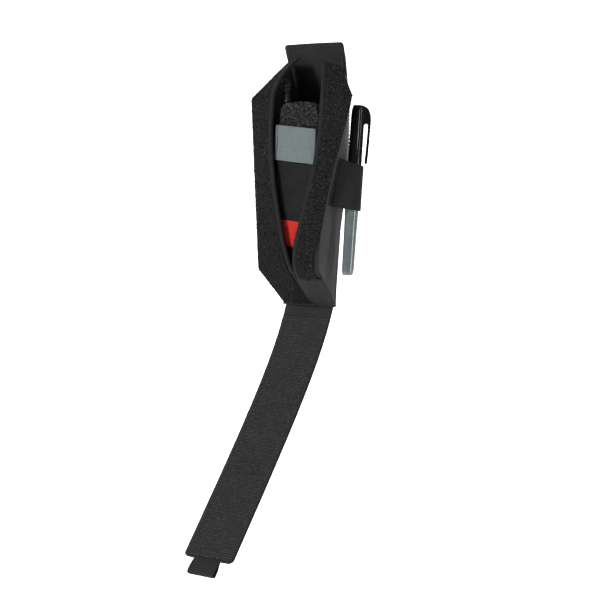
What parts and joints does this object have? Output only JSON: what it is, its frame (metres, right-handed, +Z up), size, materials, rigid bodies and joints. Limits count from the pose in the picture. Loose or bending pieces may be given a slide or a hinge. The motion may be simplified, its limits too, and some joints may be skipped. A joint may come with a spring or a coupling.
{
  "type": "tourniquet in belt pouch",
  "caption": "Folded windlass tourniquet in an open vertical fabric carry pouch with a hanging hook-faced flap, a belt loop and a marker pen in an elastic side loop.",
  "frame": {"origin": "middle of the belt loop's outer face, which lies against the wearer's belt or vest", "axes": "+Z up along the pouch, +Y out of its back, the mouth faces -Y"},
  "size_m": [0.1029, 0.1337, 0.4273],
  "materials": {
    "pouch_cloth": "coated woven nylon, matt black",
    "wall_cloth": "coated woven nylon, dark grey",
    "loop_tape": "fuzzy loop tape",
    "binding": "folded woven edge",
    "hook_tape": "hook tape in fine rows",
    "elastic": "ribbed elastic webbing",
    "webbing": "ribbed black webbing",
    "band_webbing": "ribbed black webbing with loop pile",
    "strap_grey": "grey coated strap",
    "tip_red": "red end tape",
    "black_plastic": "moulded black plastic",
    "cap_plastic": "glossy black plastic",
    "barrel_plastic": "satin grey plastic",
    "felt": "ink-soaked felt"
  },
  "bodies": {
    "pouch": {"back_panel": "pouch_cloth", "top_tab": "pouch_cloth", "left_wall": "wall_cloth", "right_wall": "wall_cloth", "left_lip": "pouch_cloth", "right_lip": "pouch_cloth", "left_lip_loop": "loop_tape", "right_lip_loop": "loop_tape", "left_lip_binding": "binding", "right_lip_binding": "binding", "left_top_lip": "loop_tape", "right_top_lip": "loop_tape", "left_base_lip": "pouch_cloth", "left_base_loop": "loop_tape", "right_base_lip": "loop_tape", "base_panel": "pouch_cloth", "left_elastic_loop": "elastic", "right_elastic_loop": "elastic", "belt_loop": "webbing"},
    "flap_low": {"flap_base": "pouch_cloth", "flap_base_hook": "hook_tape"},
    "flap_mid": {"flap_middle": "pouch_cloth", "flap_middle_hook": "hook_tape"},
    "flap_tip": {"flap_end_panel": "pouch_cloth", "flap_end_hook": "hook_tape"},
    "pull": {"pull_tab": "webbing"},
    "tourniquet": {"outer_band": "band_webbing", "tail_band": "band_webbing", "red_tip": "tip_red", "inner_band": "band_webbing", "base_plate": "black_plastic", "windlass_clip": "black_plastic", "routing_buckle": "black_plastic", "time_strap_anchor": "strap_grey"},
    "strap": {"time_strap": "strap_grey"},
    "rod": {"windlass_rod": "black_plastic"},
    "pen": {"marker_barrel": "barrel_plastic", "marker_grip": "black_plastic", "marker_nib": "felt", "marker_end_plug": "barrel_plastic"},
    "cap": {"marker_cap": "cap_plastic", "marker_clip": "cap_plastic"}
  },
  "joints": [
    {"name": "flap_fold", "type": "hinge", "parent": "pouch", "child": "flap_low", "pos_m": [0, -0.00979, -0.0964], "axis": [1, 0, 0], "range_deg": [-107.2, 0]},
    {"name": "flap_front_fold", "type": "hinge", "parent": "flap_low", "child": "flap_mid", "pos_m": [0, -0.02715, -0.13892], "axis": [1, 0, 0], "range_deg": [-39.41, 0]},
    {"name": "flap_end_fold", "type": "hinge", "parent": "flap_mid", "child": "flap_tip", "pos_m": [0, -0.10058, -0.25685], "axis": [1, 0, 0], "range_deg": [-23.06, 0]},
    {"name": "pull_tab_swing", "type": "hinge", "parent": "flap_tip", "child": "pull", "pos_m": [0, -0.12298, -0.29447], "axis": [1, 0, 0], "range_deg": [0, 100]},
    {"name": "tourniquet_lift", "type": "slide", "parent": "pouch", "child": "tourniquet", "axis": [0, -0.0349, 0.9994], "range_m": [0, 0.18], "deforming": ["top_tab", "left_top_lip", "right_top_lip"]},
    {"name": "time_strap_peel", "type": "hinge", "parent": "tourniquet", "child": "strap", "pos_m": [-0.0184, -0.04324, 0.03239], "axis": [0, 0.0349, -0.9994], "range_deg": [0, 85]},
    {"name": "windlass_turn", "type": "hinge", "parent": "tourniquet", "child": "rod", "pos_m": [-0.0112, -0.03137, 0.01929], "axis": [0, 0.9994, 0.0349], "range_deg": [0, 14]},
    {"name": "marker_lift", "type": "slide", "parent": "pouch", "child": "pen", "axis": [0, 0, 1], "range_m": [0, 0.15]},
    {"name": "marker_cap_pull", "type": "slide", "parent": "pen", "child": "cap", "axis": [0, 0, 1], "range_m": [0, 0.045]}
  ],
  "couplings": [
    {"joint": "flap_front_fold", "follows": "flap_fold", "ratio": 0.36747},
    {"joint": "flap_end_fold", "follows": "flap_fold", "ratio": 0.21494}
  ]
}
